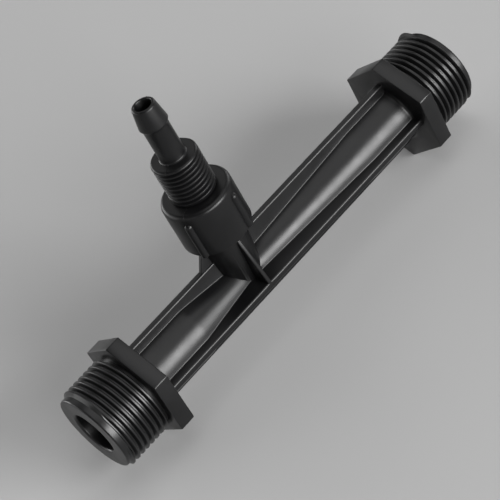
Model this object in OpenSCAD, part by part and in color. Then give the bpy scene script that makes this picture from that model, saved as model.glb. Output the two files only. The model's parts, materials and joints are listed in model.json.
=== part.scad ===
// Venturi fertilizer injector for a three-quarter inch water line.
// Water runs along +X through a throat, and the low pressure there draws
// liquid down the suction port, which stands up along +Z.
// The origin is on the flow axis, in the outer face of the inlet hexagon.

/* [Pipe ends] */
// Length from the inlet end face to the outlet end face
overall_length = 150; // [140:0.5:180]
// Outside diameter of the pipe threads
pipe_thread_d = 26.6; // [25:0.1:28]
// Length of each threaded end, from the end face to the hexagon
pipe_thread_length = 16.2; // [12:0.1:20]
// Rounding of each threaded end at its end face
pipe_nose_radius = 1.6; // [0.8:0.1:2.2]
// Width of the hexagons across their flats
hex_across_flats = 30.2; // [28.5:0.1:36]
// Thickness of each hexagon along the flow
hex_thickness = 5; // [3.5:0.1:8]

/* [Flow passage] */
// Diameter of the bore at both ends
bore_d = 13.6; // [11:0.1:15]
// Chamfer at the mouth of each bore
bore_mouth_chamfer = 0.8; // [0.3:0.1:1.5]
// Diameter of the throat
throat_d = 6.5; // [5.8:0.1:8]
// Length of the parallel throat
throat_length = 6; // [5:0.1:9]
// Length of the converging cone before the throat
inlet_cone_length = 20; // [14:0.5:24]
// Length of the diverging cone after the throat
outlet_cone_length = 46; // [36:0.5:54]
// Wall of the tube at the two bores
tube_wall = 2; // [1.5:0.1:2.6]
// Wall of the tube at the throat
throat_wall = 2.4; // [1.8:0.1:3]
// Radius of the fillet between the tube and each hexagon
tube_fillet = 1.2; // [0.5:0.1:2]

/* [Fins and webs] */
// Distance between the edges of two opposite fins
fin_span = 23.4; // [20.5:0.1:26]
// Thickness of the fins
fin_thickness = 2.2; // [1.4:0.1:3]
// Distance from the port axis at which the top fin starts to climb the boss
ramp_reach = 11.4; // [10:0.1:15]
// Thickness of the two ramps that climb from the top fin
ramp_thickness = 1.4; // [1:0.1:2.4]
// Thickness of the two side gussets of the boss
gusset_thickness = 1.2; // [1:0.1:2.4]

/* [Suction boss] */
// Distance from the inlet end face to the port axis
port_from_inlet = 62.3; // [58:0.1:68]
// Height of the cap's rim above the flow axis
cap_rim_z = 18.5; // [16.5:0.1:22]
// Gap under the cap's rim down to the top of the webs
rim_gap = 0.4; // [0.3:0.1:1]
// Wall of the boss round the ball chamber
boss_wall = 2.9; // [2.4:0.1:3.6]
// How much the boss narrows from its neck to the flow axis, on the radius
boss_taper = 1.7; // [0.8:0.1:2.2]
// Step from the neck out to the boss thread, on the radius
neck_step = 0.25; // [0.1:0.05:0.5]
// Length of boss that the cap screws on to
thread_engagement = 9; // [7:0.1:12]

/* [Check valve] */
// Diameter of the check ball
ball_d = 8; // [7.4:0.1:9]
// Gap round the ball in its chamber, on the radius
ball_side_gap = 0.9; // [0.6:0.1:1.4]
// Gap between the resting ball and its conical seat
ball_seat_gap = 0.14; // [0.08:0.01:0.3]
// Distance the ball moves down to open
ball_travel = 3; // [2:0.1:4]
// Gap left under the open ball
ball_stop_gap = 0.8; // [0.4:0.1:1.5]
// Diameter of the spring wire
spring_wire_d = 0.6; // [0.4:0.05:0.8]
// Mean diameter of the spring's coils
spring_coil_d = 5.4; // [4.6:0.1:5.8]
// Number of turns in the spring
spring_turns = 7; // [5:1:8]
// Gap round the spring in its bore, on the radius
spring_side_gap = 0.4; // [0.2:0.05:0.8]
// Gap at each end of the spring
spring_end_gap = 0.05; // [0.02:0.01:0.1]
// Height of the spring's seat above the flow axis
spring_seat_z = 9.5; // [8:0.1:11]
// Diameter of the hole from the spring's seat to the throat
suction_hole_d = 4; // [3:0.1:4.6]

/* [Suction cap] */
// Wall of the cap round the boss thread
cap_wall = 2.5; // [2:0.1:3.5]
// Running clearance between the cap and the boss thread, on the radius
cap_clearance = 0.1; // [0.05:0.01:0.1]
// Thickness of the cap's roof over the seal
cap_roof = 4.3; // [3.4:0.1:6]
// Rounding of the cap's top edge
cap_edge_radius = 1.4; // [0.6:0.1:2]
// Section of the seal ring
seal_d = 1.7; // [1.3:0.05:1.9]
// Gap on each side of the seal ring
seal_gap = 0.05; // [0.03:0.01:0.1]
// Gap between the valve seat's sleeve and the top of the boss
sleeve_gap = 0.3; // [0.2:0.05:0.6]
// Wall of the valve seat's sleeve at its lower end
sleeve_wall = 1; // [0.7:0.05:1.2]
// Gap round the ball's largest circle where the seat opens
seat_mouth_gap = 0.4; // [0.2:0.05:0.6]
// Number of grip ribs
rib_count = 4; // [3:1:8]
// Width of a grip rib
rib_width = 2.4; // [1.6:0.1:3.2]
// How far a grip rib stands out
rib_height = 0.95; // [0.5:0.05:1.1]
// Length of a grip rib up from the rim
rib_length = 12.4; // [8:0.1:13.5]
// Turn of the ribs from the flow axis, in degrees
rib_turn = 27.2; // [0:0.1:90]

/* [Suction nozzle] */
// Outside diameter of the nozzle thread
nozzle_thread_d = 13.8; // [12:0.1:15]
// Length from the cap's top to the shoulder above the thread
nozzle_thread_length = 13.4; // [10:0.1:16]
// Lead-in chamfer at the top of the nozzle thread
nozzle_chamfer = 0.9; // [0.4:0.1:1.4]
// Length of the relief at the foot of the nozzle thread
relief_length = 0.8; // [0.7:0.1:2]
// Depth of that relief
relief_depth = 0.7; // [0.3:0.1:0.8]
// Diameter of the hose stem
stem_d = 7.5; // [6.8:0.1:8.2]
// Length of the hose stem up to the barb
stem_length = 10.9; // [9:0.1:15]
// Largest diameter of the barb
barb_d = 8.6; // [8.3:0.1:10]
// Length of the barb's back slope
barb_back = 1.3; // [0.6:0.1:2.4]
// Length of the barb from its edge to the tip
barb_length = 6.4; // [4.5:0.1:9]
// Diameter of the barb's tip
tip_d = 6.9; // [6.4:0.1:7.4]
// Rounding of the tip's rim
tip_radius = 0.7; // [0.3:0.05:0.8]
// Diameter of the suction passage through the nozzle
nozzle_bore_d = 4.8; // [4:0.1:5.2]

/* [Hidden] */
$fn = 96;
plastic_black = [0.1, 0.1, 0.105];
cap_black = [0.13, 0.13, 0.135];
seal_black = [0.05, 0.05, 0.05];
ball_white = [0.86, 0.86, 0.83];
spring_steel = [0.72, 0.73, 0.75];
// Overlap that joins solids and lets cutters pass a face
overlap = 0.2;
// Places along the flow
inlet_x = -pipe_thread_length;
outlet_x = overall_length - pipe_thread_length;
outlet_shoulder_x = outlet_x - pipe_thread_length;
tube_start_x = hex_thickness;
tube_end_x = outlet_shoulder_x - hex_thickness;
port_x = inlet_x + port_from_inlet;
throat_start_x = port_x - throat_length / 2;
throat_end_x = port_x + throat_length / 2;
inlet_cone_x = throat_start_x - inlet_cone_length;
outlet_cone_x = throat_end_x + outlet_cone_length;
// Radii of the tube
bore_r = bore_d / 2;
throat_r = throat_d / 2;
tube_r = bore_r + tube_wall;
waist_r = throat_r + throat_wall;
thread_r = pipe_thread_d / 2;
hex_corner_r = hex_across_flats / 2 / cos(30);
fin_half = fin_span / 2;
// Radii round the port axis, from the ball outwards
ball_r = ball_d / 2;
chamber_r = ball_r + ball_side_gap;
boss_thread_r = chamber_r + boss_wall;
cap_bore_r = boss_thread_r + cap_clearance;
cap_r = cap_bore_r + cap_wall;
neck_r = boss_thread_r - neck_step;
boss_foot_r = neck_r - boss_taper;
seat_mouth_r = ball_r + seat_mouth_gap;
sleeve_r = seat_mouth_r + sleeve_wall;
nozzle_bore_r = nozzle_bore_d / 2;
nozzle_r = nozzle_thread_d / 2;
spring_r = spring_coil_d / 2;
wire_r = spring_wire_d / 2;
spring_bore_r = spring_r + wire_r + spring_side_gap;
seal_r = (sleeve_r + cap_bore_r) / 2;
// Heights on the port axis
web_top_z = cap_rim_z - rim_gap;
boss_top_z = cap_rim_z + thread_engagement;
cap_ceiling_z = boss_top_z + seal_d + 2 * seal_gap;
cap_top_z = cap_ceiling_z + cap_roof;
seal_z = boss_top_z + seal_gap + seal_d / 2;
seat_mouth_z = boss_top_z + sleeve_gap;
seat_top_z = seat_mouth_z + seat_mouth_r - nozzle_bore_r;
ball_z = seat_mouth_z + seat_mouth_r - (ball_r + ball_seat_gap) * sqrt(2);
ball_stop_z = ball_z - ball_travel - ball_r - ball_stop_gap;
nozzle_top_z = cap_top_z + nozzle_thread_length;
barb_foot_z = nozzle_top_z + stem_length;
barb_edge_z = barb_foot_z + barb_back;
tip_z = barb_edge_z + barb_length;
spring_low_z = spring_seat_z + spring_end_gap + wire_r;
spring_reach = ball_r + spring_end_gap + wire_r;
spring_high_z = ball_z - sqrt(spring_reach * spring_reach - spring_r * spring_r);
// Sides of the wire and steps in each turn of the spring
wire_sides = 8;
turn_steps = 20;

// Turns a profile drawn as [distance along the flow, radius] about the flow axis
module revolve_flow() {
    rotate([90, 0, 90])
        rotate_extrude()
            rotate(90)
                mirror([0, 1])
                    children();
}

// One end of the tube: thread blank with its rounded nose, hexagon and fillet, from the shoulder at x = 0
module pipe_end() {
    nose_x = pipe_nose_radius - pipe_thread_length;
    nose_r = thread_r - pipe_nose_radius;
    revolve_flow() {
        translate([-pipe_thread_length, 0])
            square([pipe_thread_length + overlap, nose_r]);
        translate([nose_x, 0])
            square([overlap - nose_x, thread_r]);
        translate([nose_x, nose_r])
            circle(r = pipe_nose_radius);
    }
    rotate([0, 90, 0])
        cylinder(r = hex_corner_r, h = hex_thickness, $fn = 6);
    translate([hex_thickness, 0, 0])
        tube_root();
}

// Fillet ring that runs from the hexagon's inner face into the tube
module tube_root() {
    revolve_flow()
        difference() {
            translate([-overlap, tube_r - overlap])
                square([tube_fillet + overlap, tube_fillet + overlap]);
            translate([tube_fillet, tube_r + tube_fillet])
                circle(r = tube_fillet);
        }
}

// Outside of the venturi tube between the hexagons
module tube_outside() {
    revolve_flow()
        polygon([
            [tube_start_x - overlap, 0],
            [tube_start_x - overlap, tube_r],
            [inlet_cone_x, tube_r],
            [throat_start_x, waist_r],
            [throat_end_x, waist_r],
            [outlet_cone_x, tube_r],
            [tube_end_x + overlap, tube_r],
            [tube_end_x + overlap, 0]
        ]);
}

// Water passage: mouth, bore, converging cone, throat, diverging cone, bore, mouth
module flow_passage() {
    revolve_flow()
        polygon([
            [inlet_x - overlap, 0],
            [inlet_x - overlap, bore_r + bore_mouth_chamfer + overlap],
            [inlet_x + bore_mouth_chamfer, bore_r],
            [inlet_cone_x, bore_r],
            [throat_start_x, throat_r],
            [throat_end_x, throat_r],
            [outlet_cone_x, bore_r],
            [outlet_x - bore_mouth_chamfer, bore_r],
            [outlet_x + overlap, bore_r + bore_mouth_chamfer + overlap],
            [outlet_x + overlap, 0]
        ]);
}

// Four long fins, in a cross about the flow axis
module fins() {
    fin_length = tube_end_x - tube_start_x + 2 * overlap;
    for (size = [[fin_span, fin_thickness], [fin_thickness, fin_span]])
        translate([tube_start_x - overlap, -size[0] / 2, -size[1] / 2])
            cube([fin_length, size[0], size[1]]);
}

// Outside of the suction boss: tapered neck and the threaded top that takes the cap
module boss_outside() {
    cylinder(r1 = boss_foot_r, r2 = neck_r, h = web_top_z);
    translate([0, 0, web_top_z - overlap])
        cylinder(r = boss_thread_r, h = boss_top_z - web_top_z + overlap);
}

// Sloping webs that brace the boss from the fins
module boss_webs() {
    rotate([90, 0, 0])
        translate([0, 0, -ramp_thickness / 2])
            linear_extrude(ramp_thickness)
                web_outline(ramp_reach, fin_half);
    rotate([90, 0, 90])
        translate([0, 0, -gusset_thickness / 2])
            linear_extrude(gusset_thickness)
                web_outline(fin_half, fin_thickness / 2);
}

// Upright plate with two sloping edges that meet the neck under the cap's rim
module web_outline(reach, foot_z) {
    polygon([
        [-reach, 0],
        [reach, 0],
        [reach, foot_z],
        [neck_r, web_top_z],
        [-neck_r, web_top_z],
        [-reach, foot_z]
    ]);
}

// Stepped hole down the boss: ball chamber, spring bore and suction hole
module boss_passage() {
    translate([0, 0, ball_stop_z])
        cylinder(r = chamber_r, h = boss_top_z - ball_stop_z + overlap);
    translate([0, 0, spring_seat_z])
        cylinder(r = spring_bore_r, h = boss_top_z - spring_seat_z);
    cylinder(d = suction_hole_d, h = boss_top_z);
}

module body() {
    color(plastic_black)
        difference() {
            union() {
                pipe_end();
                translate([outlet_shoulder_x, 0, 0])
                    mirror([1, 0, 0])
                        pipe_end();
                tube_outside();
                fins();
                translate([port_x, 0, 0]) {
                    boss_outside();
                    boss_webs();
                }
            }
            flow_passage();
            translate([port_x, 0, 0])
                boss_passage();
        }
}

// Right half of the cap's outer shell, with its rounded top edge
module cap_shell_profile() {
    edge_r = cap_r - cap_edge_radius;
    edge_z = cap_top_z - cap_edge_radius;
    translate([0, cap_rim_z])
        square([cap_r, edge_z - cap_rim_z]);
    translate([0, cap_rim_z])
        square([edge_r, cap_top_z - cap_rim_z]);
    translate([edge_r, edge_z])
        circle(r = cap_edge_radius);
}

// Right half of the nozzle: relief, thread blank, hose stem and barb
module nozzle_profile() {
    polygon([
        [0, cap_top_z - overlap],
        [nozzle_r - relief_depth, cap_top_z - overlap],
        [nozzle_r - relief_depth, cap_top_z + relief_length - relief_depth],
        [nozzle_r, cap_top_z + relief_length],
        [nozzle_r, nozzle_top_z - nozzle_chamfer],
        [nozzle_r - nozzle_chamfer, nozzle_top_z],
        [stem_d / 2, nozzle_top_z],
        [stem_d / 2, barb_foot_z],
        [barb_d / 2, barb_edge_z],
        [tip_d / 2, tip_z - tip_radius],
        [tip_d / 2 - tip_radius, tip_z - tip_radius],
        [tip_d / 2 - tip_radius, tip_z],
        [0, tip_z]
    ]);
    translate([tip_d / 2 - tip_radius, tip_z - tip_radius])
        circle(r = tip_radius);
}

// Hollow inside the cap: socket for the boss, seal groove and conical valve seat
module cap_hollow_profile() {
    translate([0, cap_rim_z - overlap])
        square([cap_bore_r, seat_mouth_z - cap_rim_z + overlap]);
    translate([sleeve_r, seat_mouth_z - overlap])
        square([cap_bore_r - sleeve_r, cap_ceiling_z - seat_mouth_z + overlap]);
    polygon([
        [0, seat_mouth_z - overlap],
        [seat_mouth_r, seat_mouth_z - overlap],
        [seat_mouth_r, seat_mouth_z],
        [nozzle_bore_r, seat_top_z],
        [nozzle_bore_r, tip_z + overlap],
        [0, tip_z + overlap]
    ]);
}

// Bar along the cap's side with a domed top end
module grip_rib() {
    rib_r = rib_width / 2;
    bar_length = rib_length - rib_r;
    translate([cap_r + rib_height - rib_r, 0, cap_rim_z])
        rotate_extrude()
            intersection() {
                union() {
                    square([rib_r, bar_length]);
                    translate([0, bar_length])
                        circle(r = rib_r);
                }
                square([rib_r, rib_length]);
            }
}

module suction_cap() {
    color(cap_black)
        translate([port_x, 0, 0])
            difference() {
                union() {
                    rotate_extrude()
                        cap_shell_profile();
                    rotate_extrude()
                        nozzle_profile();
                    for (i = [0:rib_count - 1])
                        rotate(rib_turn + i * 360 / rib_count)
                            grip_rib();
                }
                rotate_extrude()
                    cap_hollow_profile();
            }
}

module cap_seal() {
    color(seal_black)
        translate([port_x, 0, seal_z])
            rotate_extrude()
                translate([seal_r, 0])
                    circle(d = seal_d);
}

module check_ball() {
    color(ball_white)
        translate([port_x, 0, ball_z])
            sphere(r = ball_r);
}

// Point on the wire's surface: step along the spring, then side of the wire
function wire_point(step, side) =
    let (
        turn = step / turn_steps,
        around = 360 * turn,
        lie = 360 * side / wire_sides,
        out = spring_r + wire_r * cos(lie),
        rise = spring_low_z + (spring_high_z - spring_low_z) * turn / spring_turns
    )
    [out * cos(around), out * sin(around), rise + wire_r * sin(lie)];

module check_spring() {
    steps = spring_turns * turn_steps;
    points = [for (i = [0:steps], j = [0:wire_sides - 1]) wire_point(i, j)];
    sides = [
        for (i = [0:steps - 1], j = [0:wire_sides - 1])
            let (k = (j + 1) % wire_sides)
            [
                i * wire_sides + j,
                (i + 1) * wire_sides + j,
                (i + 1) * wire_sides + k,
                i * wire_sides + k
            ]
    ];
    first_end = [for (j = [0:wire_sides - 1]) j];
    last_end = [for (j = [wire_sides - 1:-1:0]) steps * wire_sides + j];
    color(spring_steel)
        translate([port_x, 0, 0])
            polyhedron(points, concat(sides, [first_end, last_end]));
}

body();
suction_cap();
cap_seal();
check_ball();
check_spring();
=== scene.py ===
import json
from math import cos, pi, radians, sin

import bpy
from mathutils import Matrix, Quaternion, Vector


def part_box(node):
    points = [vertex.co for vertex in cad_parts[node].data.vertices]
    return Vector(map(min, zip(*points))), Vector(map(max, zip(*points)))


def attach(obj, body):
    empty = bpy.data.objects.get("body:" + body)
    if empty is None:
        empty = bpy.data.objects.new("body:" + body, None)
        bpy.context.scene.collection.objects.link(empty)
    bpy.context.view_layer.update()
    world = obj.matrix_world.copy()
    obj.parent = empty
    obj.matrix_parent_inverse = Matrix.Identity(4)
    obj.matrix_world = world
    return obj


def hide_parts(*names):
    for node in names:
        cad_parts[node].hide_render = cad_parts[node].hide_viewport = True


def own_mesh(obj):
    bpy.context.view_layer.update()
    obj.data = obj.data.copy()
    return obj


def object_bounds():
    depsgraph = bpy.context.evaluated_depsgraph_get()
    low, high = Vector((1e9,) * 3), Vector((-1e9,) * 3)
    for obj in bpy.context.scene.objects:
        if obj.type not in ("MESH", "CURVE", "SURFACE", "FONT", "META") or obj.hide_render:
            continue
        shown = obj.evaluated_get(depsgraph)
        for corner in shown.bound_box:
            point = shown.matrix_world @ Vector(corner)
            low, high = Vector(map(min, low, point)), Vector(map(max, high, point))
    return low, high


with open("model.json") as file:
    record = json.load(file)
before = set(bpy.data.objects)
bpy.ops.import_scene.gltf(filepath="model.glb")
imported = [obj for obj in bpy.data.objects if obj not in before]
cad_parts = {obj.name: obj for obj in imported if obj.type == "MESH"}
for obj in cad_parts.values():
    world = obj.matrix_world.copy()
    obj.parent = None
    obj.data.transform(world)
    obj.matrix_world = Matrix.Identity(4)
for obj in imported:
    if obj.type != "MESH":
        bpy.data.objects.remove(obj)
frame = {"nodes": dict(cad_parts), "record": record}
packed_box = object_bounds()

# A venturi fertilizer injector in black moulded plastic. Lengths are in millimetres until a point is placed.
MM = 0.001

mounts = {mount["name"]: mount for mount in frame["record"]["mounts"]}
body_low, body_high = ([side / MM for side in corner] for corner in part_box("body"))
cap_low, cap_high = ([side / MM for side in corner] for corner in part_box("suction_cap"))

# Pipe ends: both alike, one at each end of the flow axis
INLET_X = body_low[0]
OUTLET_X = body_high[0]
MIDDLE_X = (INLET_X + OUTLET_X) / 2
PIPE_R = mounts["inlet_thread"]["dims"]["r_mm"]
PIPE_PITCH = 1.9
PIPE_THREAD_DEPTH = 1.16
PIPE_CREST = 0.34
PIPE_ROOT = 0.3
PIPE_CREST_EDGE = 0.2
PIPE_FIRST_GROOVE = 2.25
PIPE_THREAD_TURN = 24
PILOT_R = 12.35
PILOT_EDGE = 0.5
PILOT_LENGTH = 2.0
PILOT_SLOPE = 0.9
PILOT_FACE_RING = 0.25
LEAD_RIDGE_TURN = 84
LEAD_RIDGE_SLIMMER = 0.03
LEAD_RIDGE_LOWER = 0.02
PIPE_GROOVE_END = 0.3
PIPE_RELIEF = 0.9
PIPE_RELIEF_R = 12.1
PIPE_RELIEF_SIDE = 0.2
PIPE_RUN_OUT = 0.3
PIPE_RUN_OUT_DROP = 0.4
HEX_CORNER_R = -body_low[2]
HEX_THICKNESS = 5.0
HEX_EDGE = 0.3
BORE_R = 6.8
BORE_MOUTH = 0.8
BORE_MOUTH_PROUD = 0.01

# Venturi tube
TUBE_START_X = HEX_THICKNESS
TUBE_END_X = mounts["outlet_thread"]["pos_m"][0] / MM - HEX_THICKNESS
TUBE_R = 8.8
TUBE_FILLET = 1.2
WAIST_R = 5.65
THROAT_R = 3.25
PORT_X = mounts["nozzle_thread"]["pos_m"][0] / MM
THROAT_HALF = 3.0
INLET_CONE = 20.0
OUTLET_CONE = 46.0
CONE_START_STEPS = ((-1, 0), (0, -0.04), (1, -0.16))
WAIST_START_STEPS = ((-1, 0.16), (0, 0.04), (1, 0))
WAIST_END_STEPS = ((-1, 0), (1, 0.07))
CONE_END_STEPS = ((-2, -0.14), (0, -0.03), (2, 0))
FIN_REACH = 11.7
FIN_THICKNESS = 2.2
FIN_EDGE = 0.55
FIN_FILLET = 0.25
FIN_SINK = 0.5
FIN_RUN_IN = 0.8

# Suction boss under the cap, with its ball chamber and spring bore
CAP_RIM_Z = cap_low[2]
NECK_TOP_Z = CAP_RIM_Z - 0.4
NECK_R = 7.55
NECK_STEP_BELOW = 0.1
NECK_STEP_ABOVE = 0.15
BOSS_FOOT_R = 5.85
BOSS_TOP_Z = 27.5
BOSS_CHAMFER = 0.7
BOSS_THREAD_R = 7.8
BOSS_PITCH = 1.5
BOSS_THREAD_DEPTH = 0.6
BOSS_CREST = 0.35
BOSS_ROOT = 0.35
BOSS_CREST_EDGE = 0.08
BOSS_FIRST_GROOVE_Z = 19.7
CHAMBER_R = 4.9
CHAMBER_FLOOR_Z = 18.545
SPRING_BORE_R = 3.4
SPRING_SEAT_Z = 9.5
SPRING_FOOT_Z, SPRING_TOP_Z = (corner[2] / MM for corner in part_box("check_spring"))
SPRING_COIL_R = 2.7
SPRING_WIRE_R = 0.3
SPRING_WIRE_SIDES = 12
SPRING_TURNS = 7
SUCTION_HOLE_R = 2.0
RAMP_REACH = 11.4
RAMP_THICKNESS = 1.4
GUSSET_THICKNESS = 1.2
WEB_EDGE = 0.35

# Screw cap, nozzle and barb
CAP_R = 10.4
CAP_EDGE = 1.4
RIM_STEPS = ((-0.35, 0), (-0.1, 0.1), (0, 0.35))
CAP_TOP_Z = 33.6
CAP_CEILING_Z = 29.3
SLEEVE_R = 5.4
SEAT_MOUTH_R = 4.4
SEAT_MOUTH_Z = 27.8
SEAL_GROOVE_R = 7.9
SEAL_GROOVE_Z = BOSS_TOP_Z - 0.6
SEAL_GROOVE_SLOPE = 0.3
SOCKET_MOUTH_R = 8.1
SOCKET_LEAD_R = 7.8
SOCKET_LEAD = 1.0
SOCKET_SLOPE_END = 1.6
SOCKET_THREAD_LEAD = 1.5
SOCKET_THREAD_END = 1.2
THREAD_PLAY = 0.1
NOZZLE_R = mounts["nozzle_thread"]["dims"]["r_mm"]
NOZZLE_PITCH = 1.467
NOZZLE_THREAD_DEPTH = 0.88
NOZZLE_CREST = 0.28
NOZZLE_ROOT = 0.2
NOZZLE_CREST_EDGE = 0.2
NOZZLE_FIRST_GROOVE_Z = 35.08
NOZZLE_GROOVE_END = 0.6
NOZZLE_THREAD_TURN = 150
NOZZLE_RELIEF_R = 5.95
NOZZLE_FOOT_Z = 34.2
NOZZLE_FOOT_DROP = 0.25
NOZZLE_FOOT_STEPS = ((-0.2, -0.2), (0, 0.1))
NOZZLE_TOP_Z = 47.0
NOZZLE_CHAMFER = 0.8
NOZZLE_CHAMFER_LEAD = 0.2
NOZZLE_BORE_R = 2.4
STEM_R = 3.75
STEM_FILLET = 0.6
BARB_FOOT_Z = 57.9
BARB_R = 4.3
BARB_EDGE_Z = mounts["hose_barb"]["pos_m"][2] / MM
BARB_STEPS = ((-0.15, -0.25), (0, 0), (-0.04, 0.3))
TIP_R = 3.45
TIP_EDGE = 0.7
TIP_Z = cap_high[2]
TIP_MOUTH = 0.35
TIP_MOUTH_EDGE = 0.12
TIP_FLARE = 1.2
TIP_FLARE_RISE = 0.9
RIB_COUNT = 4
RIB_TURN = 27.2
RIB_R = 1.2
RIB_HEIGHT = 0.95
RIB_LENGTH = 12.4
RIB_CHAMFER = 0.3
PARTING_WIDTH = 0.2
PARTING_RISE = 0.06
PARTING_EDGE = 0.03

# Threads: length over which one fades in at its start, how far a groove's cutter stands proud of the crest
# and widens there, and facets in each turn
THREAD_FADE = 7.0
GROOVE_PROUD = 0.2
GROOVE_FLARE = 0.05
THREAD_STEPS = 96

# Facets round turned shapes, the angle in degrees above which an edge is shaded sharp, how far neighbouring
# solids run into each other, and how far a cutter runs out past the solid that it cuts
TURN_STEPS = 128
RIB_STEPS = 40
SHARP_ANGLE = 38
OVERLAP = 0.2
BEYOND = 1.0

# Distances in metres at which a point counts as lying in a plane, and two points as one
IN_PLANE = 1e-7
SAME_POINT = 1e-6

# Studio: each soft box's direction from the part, its distance, width and height in metres, and its power
# in watts, then the height of the point that they shine on, the floor, the air and the camera
SOFT_BOXES = {
    "key_box": ((0.317, -0.90, 0.26), 3.2, 1.49, 1.64, 130),
    "fill_box": ((-0.15, -0.97, 0.24), 3.2, 1.49, 1.42, 57),
    "left_box": ((-0.92, -0.22, 0.26), 3.2, 2.31, 0.89, 8),
    "roof_box": ((0.3, -0.18, 0.93), 2.2, 2.00, 2.00, 16),
    "rear_left_box": ((-0.72, 0.62, 0.30), 3.4, 2.04, 1.70, 26),
    "rear_box": ((-0.25, 0.94, 0.22), 3.4, 1.70, 1.36, 40),
    "high_rear_box": ((0.30, 0.70, 0.64), 2.2, 1.40, 1.40, 4),
    "right_box": ((0.93, 0.25, 0.28), 3.4, 2.04, 1.53, 26),
}
LIT_POINT_Z = 10
FLOOR_SIZE = 6
FLOOR_GREY = 0.48
AIR_GREY = 0.02
CAMERA_PLACE = (-125.042, -386.251, 348.212)
CAMERA_TARGET = (51.129, -0.076, 4.348)
CAMERA_LEAN = -30.85
CAMERA_LENS = 141.59
CAMERA_SENSOR = 36

# Black plastics: the darker and the paler tone of their flow marks
BLACK_DARK = (0.003, 0.003, 0.0032)
BLACK_PALE = (0.005, 0.005, 0.0053)


def place(x, y, z):
    """A point of the part, from millimetres."""
    return Vector((x, y, z)) * MM


def pick(piece):
    """Make one object the only one that is selected."""
    bpy.ops.object.select_all(action="DESELECT")
    piece.select_set(True)
    bpy.context.view_layer.objects.active = piece


def open_mesh(piece):
    """Go into edit mode with the whole mesh selected."""
    pick(piece)
    bpy.ops.object.mode_set(mode="EDIT")
    bpy.ops.mesh.select_all(action="SELECT")


def close_mesh():
    """Weld seams and poles, point the faces outwards and leave edit mode."""
    bpy.ops.mesh.select_all(action="SELECT")
    bpy.ops.mesh.remove_doubles(threshold=SAME_POINT)
    bpy.ops.mesh.normals_make_consistent(inside=False)
    bpy.ops.object.mode_set(mode="OBJECT")


def select_where(piece, test):
    """In edit mode, select only the vertices whose place passes a test."""
    bpy.ops.mesh.select_all(action="DESELECT")
    bpy.ops.object.mode_set(mode="OBJECT")
    for vertex in piece.data.vertices:
        vertex.select = test(vertex.co)
    bpy.ops.object.mode_set(mode="EDIT")


def draw_outline(name, points):
    """Draw a chain of edges by extruding one vertex from point to point, and stay in edit mode."""
    bpy.ops.object.select_all(action="DESELECT")
    bpy.ops.mesh.primitive_plane_add(size=MM, location=points[0])
    piece = bpy.context.object
    piece.name = name
    bpy.ops.object.transform_apply(location=True, rotation=False, scale=False)
    open_mesh(piece)
    bpy.ops.mesh.merge(type="CENTER")
    for here, there in zip(points, points[1:]):
        bpy.ops.mesh.extrude_vertices_move(TRANSFORM_OT_translate={"value": there - here})
    bpy.ops.mesh.select_all(action="SELECT")
    return piece


def turn_on_flow_axis(name, outline):
    """Turn an outline of (distance along the flow, radius) about the flow axis."""
    piece = draw_outline(name, [place(x, 0, r) for x, r in outline])
    bpy.ops.mesh.spin(steps=TURN_STEPS, angle=2 * pi, center=(0, 0, 0), axis=(1, 0, 0))
    close_mesh()
    return piece


def turn_on_port_axis(name, outline):
    """Turn an outline of (radius, height) about the axis of the suction port."""
    piece = draw_outline(name, [place(PORT_X + r, 0, z) for r, z in outline])
    bpy.ops.mesh.spin(steps=TURN_STEPS, angle=2 * pi, center=place(PORT_X, 0, 0), axis=(0, 0, 1))
    close_mesh()
    return piece


def arc(along, across, radius, start, end, steps=6):
    """Points of a rounded corner in an outline, between two angles in degrees."""
    angles = [radians(start + (end - start) * step / steps) for step in range(steps + 1)]
    return [(along + radius * cos(angle), across + radius * sin(angle)) for angle in angles]


def broken_corner(along, across, steps):
    """Points that take the sharpness off a corner of an outline, each a small step away from it."""
    return [(along + step_along, across + step_across) for step_along, step_across in steps]


def apply_modifier(piece, kind, **settings):
    """Add one modifier to a piece and apply it."""
    pick(piece)
    bpy.ops.object.modifier_add(type=kind)
    modifier = piece.modifiers[-1]
    for setting, value in settings.items():
        setattr(modifier, setting, value)
    bpy.ops.object.modifier_apply(modifier=modifier.name)


def soften_edges(piece, width, segments=3):
    """Round every edge sharper than 30 degrees."""
    apply_modifier(
        piece, "BEVEL", width=width * MM, segments=segments, limit_method="ANGLE", angle_limit=radians(30))


def combine(piece, other, operation="UNION"):
    """Join another solid to a piece, or cut it out of the piece."""
    apply_modifier(piece, "BOOLEAN", operation=operation, object=other, solver="MANIFOLD")
    bpy.data.objects.remove(other, do_unlink=True)


def shift(piece, offset):
    """Move a piece's mesh and leave its object at the origin."""
    open_mesh(piece)
    bpy.ops.transform.translate(value=offset)
    bpy.ops.object.mode_set(mode="OBJECT")


def swing(piece, angle, axis, centre):
    """Turn a piece's mesh about a point, anticlockwise seen from the axis's own end."""
    open_mesh(piece)
    bpy.ops.transform.rotate(value=-angle, orient_axis=axis, center_override=centre)
    bpy.ops.object.mode_set(mode="OBJECT")


def copy_piece(piece, name):
    """A copy of a piece with a mesh of its own."""
    pick(piece)
    bpy.ops.object.duplicate(linked=False)
    twin = bpy.context.object
    twin.name = name
    return twin


def thread_groove(crest_r, depth, pitch, crest, root, edge):
    """Section of the groove between two crests of a thread, as (distance along the axis, radius)."""
    mouth = (pitch - crest) / 2
    half = [(root / 2, crest_r - depth)]
    half += arc(mouth, crest_r - edge, edge, 155, 100, 4)
    half += [(mouth + GROOVE_FLARE, crest_r + GROOVE_PROUD)]
    return half + [(-along, r) for along, r in reversed(half)]


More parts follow.
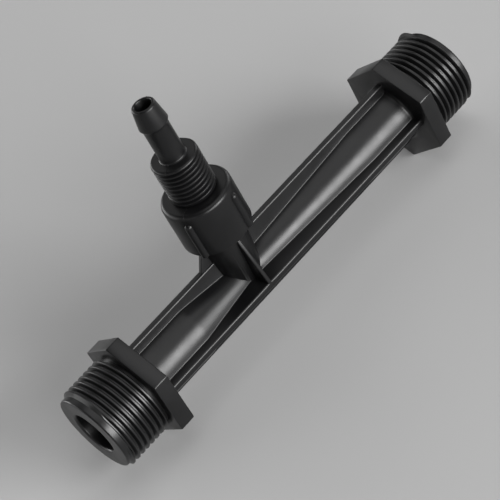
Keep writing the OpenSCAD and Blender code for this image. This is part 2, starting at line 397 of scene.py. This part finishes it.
def helix(name, axis, section, pitch, first, turns, start_turn, fade=1):
    """A right-handed helical bar of a closed section of (distance along the axis, radius).

    With fade 1 its start drifts outwards, so that a groove cut with it begins gently. With fade -1 a ridge
    rises from below the surface, and with fade 0, as for a spring, the bar starts at once.
    """
    closed = section + section[:1]
    if axis == "X":
        points = [place(first + along, 0, r) for along, r in closed]
        start_end = place(first + pitch / 2, 0, 0)
        outwards = place(0, 0, 1)
    else:
        points = [place(r, 0, first + along) for along, r in closed]
        start_end = place(0, 0, first + pitch / 2)
        outwards = place(1, 0, 0)
    bar = draw_outline(name, points)
    bpy.ops.mesh.remove_doubles(threshold=SAME_POINT)
    bpy.ops.object.mode_set(mode="OBJECT")
    steps = round(THREAD_STEPS * turns)
    apply_modifier(
        bar, "SCREW", axis=axis, angle=2 * pi * turns, screw_offset=pitch * turns * MM, iterations=1,
        steps=steps, render_steps=steps, use_merge_vertices=False)
    open_mesh(bar)
    bpy.ops.mesh.fill_holes(sides=0)
    along = "XYZ".index(axis)
    select_where(bar, lambda point: abs(point.y) < IN_PLANE and point[along] < start_end[along])
    radii = [r for _, r in section]
    bpy.ops.transform.translate(
        value=outwards * (max(radii) - min(radii)) * fade,
        use_proportional_edit=True, use_proportional_connected=True,
        proportional_edit_falloff="SMOOTH", proportional_size=THREAD_FADE * MM)
    close_mesh()
    swing(bar, radians(start_turn), axis, (0, 0, 0))
    if axis == "Z":
        shift(bar, place(PORT_X, 0, 0))
    return bar


def plate(name, outline, thickness, edge, upright_along):
    """A flat web of an outline of (reach, height), stood on the port axis along the flow or across it."""
    if upright_along == "X":
        points = [place(PORT_X + reach, -thickness / 2, z) for reach, z in outline]
        through = place(0, thickness, 0)
    else:
        points = [place(PORT_X - thickness / 2, reach, z) for reach, z in outline]
        through = place(thickness, 0, 0)
    piece = draw_outline(name, points)
    bpy.ops.mesh.edge_face_add()
    bpy.ops.mesh.extrude_region_move(TRANSFORM_OT_translate={"value": through})
    close_mesh()
    soften_edges(piece, edge)
    return piece


def make_pipe_end():
    """The inlet's end: plain pilot, pipe thread, run-out relief and hexagon."""
    pilot_end = INLET_X + PILOT_LENGTH
    outline = [(INLET_X, 0), (INLET_X, PILOT_R - PILOT_EDGE - PILOT_FACE_RING)]
    outline += arc(INLET_X + PILOT_EDGE, PILOT_R - PILOT_EDGE, PILOT_EDGE, 180, 90)
    outline += [
        (pilot_end, PILOT_R),
        (pilot_end + PILOT_SLOPE, PIPE_R),
        (-PIPE_RELIEF - PIPE_RUN_OUT, PIPE_R),
        (-PIPE_RELIEF, PIPE_R - PIPE_RUN_OUT_DROP),
        (-PIPE_RELIEF + PIPE_RELIEF_SIDE, PIPE_RELIEF_R),
        (OVERLAP, PIPE_RELIEF_R),
        (OVERLAP, 0)]
    end = turn_on_flow_axis("pipe_end", outline)

    # The thread's first ridge grows out of the slope before the first full groove begins.
    first = INLET_X + PIPE_FIRST_GROOVE
    lead = (LEAD_RIDGE_TURN - PIPE_THREAD_TURN) / 360
    ridge_x = first + PIPE_PITCH * (lead - 0.5)
    foot = (PIPE_PITCH - PIPE_ROOT) / 2
    root_r = PIPE_R - PIPE_THREAD_DEPTH
    top = PIPE_CREST / 2 - LEAD_RIDGE_SLIMMER
    top_r = PIPE_R - LEAD_RIDGE_LOWER
    ridge = [(-foot, root_r), (foot, root_r), (top, top_r), (-top, top_r)]
    combine(end, helix("lead_ridge", "X", ridge, PIPE_PITCH, ridge_x, 1 - lead, LEAD_RIDGE_TURN, -1))
    groove = thread_groove(PIPE_R, PIPE_THREAD_DEPTH, PIPE_PITCH, PIPE_CREST, PIPE_ROOT, PIPE_CREST_EDGE)
    turns = (-PIPE_GROOVE_END - first) / PIPE_PITCH
    combine(end, helix("pipe_groove", "X", groove, PIPE_PITCH, first, turns, PIPE_THREAD_TURN), "DIFFERENCE")

    # A cylinder of six sides starts with corners at its sides, and is turned to have them at top and bottom.
    bpy.ops.object.select_all(action="DESELECT")
    bpy.ops.mesh.primitive_cylinder_add(
        vertices=6, radius=HEX_CORNER_R * MM, depth=HEX_THICKNESS * MM,
        location=place(HEX_THICKNESS / 2, 0, 0), rotation=(0, pi / 2, 0))
    hexagon = bpy.context.object
    bpy.ops.object.transform_apply(location=True, rotation=True, scale=True)
    swing(hexagon, pi / 6, "X", (0, 0, 0))
    soften_edges(hexagon, HEX_EDGE, 2)
    combine(end, hexagon)
    return end


def tube_line():
    """Outside of the two cones and the waist between them, as (distance along the flow, radius)."""
    line = broken_corner(PORT_X - THROAT_HALF - INLET_CONE, TUBE_R, CONE_START_STEPS)
    line += broken_corner(PORT_X - THROAT_HALF, WAIST_R, WAIST_START_STEPS)
    line += broken_corner(PORT_X + THROAT_HALF, WAIST_R, WAIST_END_STEPS)
    line += broken_corner(PORT_X + THROAT_HALF + OUTLET_CONE, TUBE_R, CONE_END_STEPS)
    return line


def make_tube():
    """Outside of the venturi tube: straight ends, two cones and the waist, filleted into the hexagons."""
    foot_r = TUBE_R + TUBE_FILLET
    outline = [(TUBE_START_X - OVERLAP, 0), (TUBE_START_X - OVERLAP, foot_r)]
    outline += arc(TUBE_START_X + TUBE_FILLET, foot_r, TUBE_FILLET, 180, 270)
    outline += tube_line()
    outline += arc(TUBE_END_X - TUBE_FILLET, foot_r, TUBE_FILLET, 270, 360)
    outline += [(TUBE_END_X + OVERLAP, foot_r), (TUBE_END_X + OVERLAP, 0)]
    return turn_on_flow_axis("tube", outline)


def make_fin():
    """The upper fin: rounded along its outer edges, and flared into the tube's cones along its root."""
    half = FIN_THICKNESS / 2
    fillet_z = ((TUBE_R + FIN_FILLET) ** 2 - (half + FIN_FILLET) ** 2) ** 0.5
    side = [(half + FIN_FILLET, fillet_z - FIN_FILLET - FIN_SINK)]
    side += arc(half + FIN_FILLET, fillet_z, FIN_FILLET, 262, 180, 4)
    side += arc(half - FIN_EDGE, FIN_REACH - FIN_EDGE, FIN_EDGE, 0, 90, 5)
    section = side + [(-y, z) for y, z in reversed(side)]
    x, radius = TUBE_START_X - FIN_RUN_IN, TUBE_R
    fin = draw_outline("upper_fin", [place(x, y, z) for y, z in section + section[:1]])
    bpy.ops.mesh.remove_doubles(threshold=SAME_POINT)

    # The section is carried along the tube, and its root follows the tube's radius from step to step.
    margin = 0.01
    for next_x, next_radius in tube_line() + [(TUBE_END_X + FIN_RUN_IN, TUBE_R)]:
        select_where(fin, lambda point: point.x > (x - margin) * MM)
        bpy.ops.mesh.extrude_region_move(TRANSFORM_OT_translate={"value": place(next_x - x, 0, 0)})
        top_of_root = fillet_z - TUBE_R + radius + margin
        select_where(fin, lambda point: point.x > (next_x - margin) * MM and point.z < top_of_root * MM)
        bpy.ops.transform.translate(value=place(0, 0, next_radius - radius))
        x, radius = next_x, next_radius
    bpy.ops.mesh.select_all(action="SELECT")
    bpy.ops.mesh.fill_holes(sides=0)
    close_mesh()
    return fin


def make_boss():
    """The suction boss: tapered neck, threaded top and the sloping webs that brace it from the fins."""
    boss = turn_on_port_axis("boss", [
        (0, 0),
        (BOSS_FOOT_R, 0),
        (NECK_R, NECK_TOP_Z - NECK_STEP_BELOW),
        (BOSS_THREAD_R, NECK_TOP_Z + NECK_STEP_ABOVE),
        (BOSS_THREAD_R, BOSS_TOP_Z - BOSS_CHAMFER),
        (BOSS_THREAD_R - BOSS_CHAMFER, BOSS_TOP_Z),
        (0, BOSS_TOP_Z),
    ])
    groove = thread_groove(
        BOSS_THREAD_R, BOSS_THREAD_DEPTH, BOSS_PITCH, BOSS_CREST, BOSS_ROOT, BOSS_CREST_EDGE)
    turns = (BOSS_TOP_Z + BEYOND - BOSS_FIRST_GROOVE_Z) / BOSS_PITCH
    cutter = helix("boss_groove", "Z", groove, BOSS_PITCH, BOSS_FIRST_GROOVE_Z, turns, 0)
    combine(boss, cutter, "DIFFERENCE")
    ramp = [
        (-RAMP_REACH, 0), (RAMP_REACH, 0), (RAMP_REACH, FIN_REACH),
        (NECK_R, NECK_TOP_Z), (-NECK_R, NECK_TOP_Z), (-RAMP_REACH, FIN_REACH)]
    combine(boss, plate("ramp", ramp, RAMP_THICKNESS, WEB_EDGE, "X"))
    gusset = [
        (-FIN_REACH, 0), (FIN_REACH, 0), (FIN_REACH, FIN_THICKNESS / 2),
        (NECK_R, NECK_TOP_Z), (-NECK_R, NECK_TOP_Z), (-FIN_REACH, FIN_THICKNESS / 2)]
    combine(boss, plate("gusset", gusset, GUSSET_THICKNESS, WEB_EDGE, "Y"))
    return boss


def make_flow_passage():
    """The water's way through: rounded mouths, bores, two cones and the throat, as a solid to cut with."""
    mouth_r = BORE_R + BORE_MOUTH
    mouth_depth = BORE_MOUTH - BORE_MOUTH_PROUD
    outline = [(INLET_X - BEYOND, 0), (INLET_X - BEYOND, mouth_r)]
    outline += arc(INLET_X + mouth_depth, mouth_r, BORE_MOUTH, 180, 270)
    outline += [
        (PORT_X - THROAT_HALF - INLET_CONE, BORE_R),
        (PORT_X - THROAT_HALF, THROAT_R),
        (PORT_X + THROAT_HALF, THROAT_R),
        (PORT_X + THROAT_HALF + OUTLET_CONE, BORE_R)]
    outline += arc(OUTLET_X - mouth_depth, mouth_r, BORE_MOUTH, 270, 360)
    outline += [(OUTLET_X + BEYOND, mouth_r), (OUTLET_X + BEYOND, 0)]
    return turn_on_flow_axis("flow_passage", outline)


def make_boss_passage():
    """Ball chamber, spring bore and suction hole down the boss, as a solid to cut with."""
    return turn_on_port_axis("boss_passage", [
        (0, 0),
        (SUCTION_HOLE_R, 0),
        (SUCTION_HOLE_R, SPRING_SEAT_Z),
        (SPRING_BORE_R, SPRING_SEAT_Z),
        (SPRING_BORE_R, CHAMBER_FLOOR_Z),
        (CHAMBER_R, CHAMBER_FLOOR_Z),
        (CHAMBER_R, BOSS_TOP_Z + BEYOND),
        (0, BOSS_TOP_Z + BEYOND),
    ])


def make_body():
    """The one-piece moulded body."""
    body = make_tube()
    body.name = "injector_body"
    upper_fin = make_fin()
    for number in range(1, 4):
        fin = copy_piece(upper_fin, "fin_%d" % number)
        swing(fin, pi / 2 * number, "X", (0, 0, 0))
        combine(body, fin)
    combine(body, upper_fin)
    combine(body, make_boss())

    # The outlet's end is the inlet's, turned to face the other way and then on by four faces of its hexagon.
    inlet_end = make_pipe_end()
    outlet_end = copy_piece(inlet_end, "outlet_end")
    swing(outlet_end, pi, "Z", place(MIDDLE_X, 0, 0))
    swing(outlet_end, 4 * pi / 3, "X", (0, 0, 0))
    combine(body, inlet_end)
    combine(body, outlet_end)
    combine(body, make_flow_passage(), "DIFFERENCE")
    combine(body, make_boss_passage(), "DIFFERENCE")
    return body


def make_grip_rib():
    """One grip rib: a round bar on the cap's side with a domed top, facing along +X from the port axis."""
    rib_x = PORT_X + CAP_R + RIB_HEIGHT - RIB_R
    top = CAP_RIM_Z + RIB_LENGTH
    outline = [(0, CAP_RIM_Z), (RIB_R - RIB_CHAMFER, CAP_RIM_Z), (RIB_R, CAP_RIM_Z + RIB_CHAMFER)]
    outline += arc(0, top - RIB_R, RIB_R, 0, 90, 8)
    rib = draw_outline("grip_rib", [place(rib_x + r, 0, z) for r, z in outline])
    bpy.ops.mesh.spin(steps=RIB_STEPS, angle=2 * pi, center=place(rib_x, 0, 0), axis=(0, 0, 1))
    close_mesh()
    return rib


def nozzle_outline():
    """Outside of the cap from its rim up over the nozzle to the tip, as (radius, height)."""
    outline = broken_corner(CAP_R, CAP_RIM_Z, RIM_STEPS)
    outline += arc(CAP_R - CAP_EDGE, CAP_TOP_Z - CAP_EDGE, CAP_EDGE, 0, 90, 8)
    outline += [(NOZZLE_RELIEF_R, CAP_TOP_Z), (NOZZLE_RELIEF_R, NOZZLE_FOOT_Z - NOZZLE_FOOT_DROP)]
    outline += broken_corner(NOZZLE_R, NOZZLE_FOOT_Z, NOZZLE_FOOT_STEPS)
    outline += [(NOZZLE_R, NOZZLE_TOP_Z - NOZZLE_CHAMFER - NOZZLE_CHAMFER_LEAD)]
    outline += arc(NOZZLE_R - NOZZLE_CHAMFER, NOZZLE_TOP_Z - NOZZLE_CHAMFER, NOZZLE_CHAMFER, 15, 90, 5)
    outline += arc(STEM_R + STEM_FILLET, NOZZLE_TOP_Z + STEM_FILLET, STEM_FILLET, 270, 180, 5)
    outline += [(STEM_R, BARB_FOOT_Z)]
    outline += broken_corner(BARB_R, BARB_EDGE_Z, BARB_STEPS)
    outline += arc(TIP_R - TIP_EDGE, TIP_Z - TIP_EDGE, TIP_EDGE, 8, 90, 6)
    return outline


def make_parting_line():
    """The fine line that the mould's two halves leave on the cap and nozzle, through two of the grip ribs."""
    side = [(r + PARTING_RISE, min(z + PARTING_RISE, TIP_Z)) for r, z in nozzle_outline()]
    outline = side + [(-r, z) for r, z in reversed(side)]
    line = plate("parting_line", outline, PARTING_WIDTH, PARTING_EDGE, "X")
    swing(line, radians(RIB_TURN), "Z", place(PORT_X, 0, 0))
    return line


def make_cap_hollow():
    """Socket, seal groove, valve seat and suction bore inside the cap, as a solid to cut with."""
    minor_r = BOSS_THREAD_R - BOSS_THREAD_DEPTH + THREAD_PLAY
    return turn_on_port_axis("cap_hollow", [
        (0, CAP_RIM_Z - BEYOND),
        (SOCKET_MOUTH_R + BEYOND, CAP_RIM_Z - BEYOND),
        (SOCKET_MOUTH_R, CAP_RIM_Z),
        (SOCKET_LEAD_R, CAP_RIM_Z + SOCKET_LEAD),
        (minor_r, CAP_RIM_Z + SOCKET_SLOPE_END),
        (minor_r, SEAL_GROOVE_Z - SEAL_GROOVE_SLOPE),
        (SEAL_GROOVE_R, SEAL_GROOVE_Z),
        (SEAL_GROOVE_R, CAP_CEILING_Z),
        (SLEEVE_R, CAP_CEILING_Z),
        (SLEEVE_R, SEAT_MOUTH_Z),
        (SEAT_MOUTH_R, SEAT_MOUTH_Z),
        (NOZZLE_BORE_R, SEAT_MOUTH_Z + SEAT_MOUTH_R - NOZZLE_BORE_R),
        (NOZZLE_BORE_R, TIP_Z - TIP_MOUTH),
        (NOZZLE_BORE_R + TIP_MOUTH_EDGE, TIP_Z - TIP_MOUTH_EDGE),
        (NOZZLE_BORE_R + TIP_FLARE, TIP_Z + TIP_FLARE_RISE),
        (0, TIP_Z + TIP_FLARE_RISE),
    ])


def make_cap():
    """The screw cap with its grip ribs, threaded nozzle and hose barb."""
    cap = turn_on_port_axis("screw_cap", [(0, CAP_RIM_Z)] + nozzle_outline() + [(0, TIP_Z)])
    combine(cap, make_parting_line())
    groove = thread_groove(
        NOZZLE_R, NOZZLE_THREAD_DEPTH, NOZZLE_PITCH, NOZZLE_CREST, NOZZLE_ROOT, NOZZLE_CREST_EDGE)
    turns = (NOZZLE_TOP_Z - NOZZLE_GROOVE_END - NOZZLE_FIRST_GROOVE_Z) / NOZZLE_PITCH
    cutter = helix(
        "nozzle_groove", "Z", groove, NOZZLE_PITCH, NOZZLE_FIRST_GROOVE_Z, turns, NOZZLE_THREAD_TURN)
    combine(cap, cutter, "DIFFERENCE")
    first_rib = make_grip_rib()
    for number in range(RIB_COUNT):
        rib = copy_piece(first_rib, "grip_rib_%d" % (number + 1))
        swing(rib, radians(RIB_TURN + 360 / RIB_COUNT * number), "Z", place(PORT_X, 0, 0))
        combine(cap, rib)
    bpy.data.objects.remove(first_rib, do_unlink=True)
    combine(cap, make_cap_hollow(), "DIFFERENCE")
    major_r = BOSS_THREAD_R + THREAD_PLAY
    minor_r = major_r - BOSS_THREAD_DEPTH
    crest = BOSS_CREST / 2 + THREAD_PLAY
    foot = (BOSS_PITCH - BOSS_ROOT) / 2 + THREAD_PLAY
    tooth = [
        (-foot, minor_r - GROOVE_PROUD), (foot, minor_r - GROOVE_PROUD), (foot, minor_r),
        (crest, major_r), (-crest, major_r), (-foot, minor_r)]
    first = BOSS_FIRST_GROOVE_Z - BOSS_PITCH * SOCKET_THREAD_LEAD
    turns = (BOSS_TOP_Z - SOCKET_THREAD_END - first) / BOSS_PITCH
    combine(cap, helix("socket_thread", "Z", tooth, BOSS_PITCH, first, turns, 0), "DIFFERENCE")
    return cap


def make_spring():
    """The check ball's spring: an open coil of round wire from its seat up to the ball."""
    wire = [(SPRING_WIRE_R * sin(lie), SPRING_COIL_R + SPRING_WIRE_R * cos(lie))
            for lie in (2 * pi * side / SPRING_WIRE_SIDES for side in range(SPRING_WIRE_SIDES))]
    rise = (SPRING_TOP_Z - SPRING_FOOT_Z - 2 * SPRING_WIRE_R) / SPRING_TURNS
    return helix("coil_spring", "Z", wire, rise, SPRING_FOOT_Z + SPRING_WIRE_R, SPRING_TURNS, 0, 0)


def finish_piece(piece, node, body, material):
    """Smooth the shading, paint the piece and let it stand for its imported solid."""
    pick(piece)
    bpy.ops.object.shade_smooth_by_angle(angle=radians(SHARP_ANGLE))
    piece.data.materials.clear()
    piece.data.materials.append(material)
    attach(piece, body)
    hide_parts(node)


def new_material(name):
    """A material with its principled shader and the object coordinates, ready for more nodes."""
    material = bpy.data.materials.new(name)
    material.use_nodes = True
    nodes = material.node_tree.nodes
    coordinates = nodes.new("ShaderNodeTexCoord")
    return material, nodes, material.node_tree.links, nodes["Principled BSDF"], coordinates.outputs["Object"]


def mottle(nodes, links, coordinates, scale, detail, low, high):
    """Cloudy variation between two values, from a noise's middle range, at a scale in clouds per metre."""
    noise = nodes.new("ShaderNodeTexNoise")
    noise.inputs["Scale"].default_value = scale
    noise.inputs["Detail"].default_value = detail
    links.new(coordinates, noise.inputs["Vector"])
    spread = nodes.new("ShaderNodeMapRange")
    spread.inputs["From Min"].default_value = 0.3
    spread.inputs["From Max"].default_value = 0.7
    spread.inputs["To Min"].default_value = low
    spread.inputs["To Max"].default_value = high
    links.new(noise.outputs["Fac"], spread.inputs["Value"])
    return spread.outputs["Result"]


def clouded_material(name, dark, pale, colour_clouds, smooth, rough, gloss_clouds):
    """A material whose colour and roughness vary in clouds, each given as (clouds per metre, detail)."""
    material, nodes, links, shader, coordinates = new_material(name)
    tint = nodes.new("ShaderNodeMix")
    tint.data_type = "RGBA"
    tint.inputs["A"].default_value = (*dark, 1)
    tint.inputs["B"].default_value = (*pale, 1)
    links.new(mottle(nodes, links, coordinates, *colour_clouds, 0, 1), tint.inputs["Factor"])
    links.new(tint.outputs["Result"], shader.inputs["Base Color"])
    links.new(mottle(nodes, links, coordinates, *gloss_clouds, smooth, rough), shader.inputs["Roughness"])
    return material, nodes, links, shader, coordinates


def black_plastic(name, smooth, rough, shine):
    """Black moulded plastic: faint flow marks in its colour and gloss, and a fine spark-eroded grain."""
    material, nodes, links, shader, coordinates = clouded_material(
        name, BLACK_DARK, BLACK_PALE, (90, 4), smooth, rough, (160, 3))
    shader.inputs["Specular IOR Level"].default_value = shine
    grain = nodes.new("ShaderNodeTexNoise")
    grain.inputs["Scale"].default_value = 5200
    grain.inputs["Detail"].default_value = 2
    links.new(coordinates, grain.inputs["Vector"])
    bump = nodes.new("ShaderNodeBump")
    bump.inputs["Strength"].default_value = 0.12
    bump.inputs["Distance"].default_value = 0.00004
    links.new(grain.outputs["Fac"], bump.inputs["Height"])
    links.new(bump.outputs["Normal"], shader.inputs["Normal"])
    return material


def seal_rubber():
    """Dull black rubber of the seal ring."""
    return clouded_material(
        "seal_rubber_black", (0.012, 0.012, 0.013), (0.026, 0.026, 0.027), (900, 3), 0.6, 0.8, (1500, 2))[0]


def ball_plastic():
    """Glossy off-white plastic of the check ball, faintly clouded."""
    return clouded_material(
        "check_ball_white", (0.72, 0.71, 0.66), (0.80, 0.79, 0.75), (300, 2), 0.14, 0.24, (700, 2))[0]


def spring_steel():
    """Drawn stainless wire of the check spring."""
    material, _, _, shader, _ = clouded_material(
        "spring_wire_steel", (0.50, 0.49, 0.47), (0.62, 0.61, 0.59), (2400, 2), 0.24, 0.36, (3200, 2))
    shader.inputs["Metallic"].default_value = 1
    return material


def paint_node(node, material):
    """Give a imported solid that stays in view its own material."""
    slots = frame["nodes"][node].data.materials
    slots.clear()
    slots.append(material)


def soft_box(name, towards, distance, width, height, power):
    """A studio soft box that shines on the middle of the part from a given direction."""
    middle = place(MIDDLE_X, 0, LIT_POINT_Z)
    bpy.ops.object.light_add(type="AREA", location=middle + Vector(towards).normalized() * distance)
    box = bpy.context.object
    box.name = name
    box.data.shape = "RECTANGLE"
    box.data.size = width
    box.data.size_y = height
    box.data.energy = power
    box.rotation_euler = (box.location - middle).to_track_quat("Z", "Y").to_euler()


def make_studio():
    """Pale floor under the lower corners of the hexagons, soft light and the camera."""
    bpy.ops.object.select_all(action="DESELECT")
    bpy.ops.mesh.primitive_plane_add(size=FLOOR_SIZE, location=(MIDDLE_X * MM, 0, packed_box[0][2]))
    floor = bpy.context.object
    floor.name = "floor"
    floor_paint, _, _, shader, _ = new_material("floor_pale_grey")
    shader.inputs["Base Color"].default_value = (FLOOR_GREY, FLOOR_GREY, FLOOR_GREY, 1)
    shader.inputs["Roughness"].default_value = 0.9
    shader.inputs["Specular IOR Level"].default_value = 0.1
    floor.data.materials.append(floor_paint)

    world = bpy.data.worlds.new("studio_air")
    world.use_nodes = True
    air = world.node_tree.nodes["Background"]
    air.inputs["Color"].default_value = (AIR_GREY, AIR_GREY, AIR_GREY, 1)
    bpy.context.scene.world = world
    for name, settings in SOFT_BOXES.items():
        soft_box(name, *settings)

    place_of_camera = place(*CAMERA_PLACE)
    looked_at = place(*CAMERA_TARGET)
    lean = Quaternion((0, 0, 1), radians(CAMERA_LEAN))
    bpy.ops.object.camera_add(location=place_of_camera)
    camera = bpy.context.object
    camera.rotation_euler = ((place_of_camera - looked_at).to_track_quat("Z", "Y") @ lean).to_euler()
    camera.data.lens = CAMERA_LENS
    camera.data.sensor_width = CAMERA_SENSOR
    bpy.context.scene.camera = camera
    bpy.context.scene.view_settings.view_transform = "Standard"


bpy.context.tool_settings.mesh_select_mode = (True, False, False)
body_black = black_plastic("body_black_plastic", smooth=0.30, rough=0.38, shine=0.4)
cap_black = black_plastic("cap_black_plastic", smooth=0.32, rough=0.40, shine=0.3)
finish_piece(make_body(), "body", "body", body_black)
finish_piece(make_cap(), "suction_cap", "cap", cap_black)
paint_node("cap_seal", seal_rubber())
paint_node("check_ball", ball_plastic())
coil_spring = make_spring()
finish_piece(coil_spring, "check_spring", "body", spring_steel())
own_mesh(coil_spring)
make_studio()
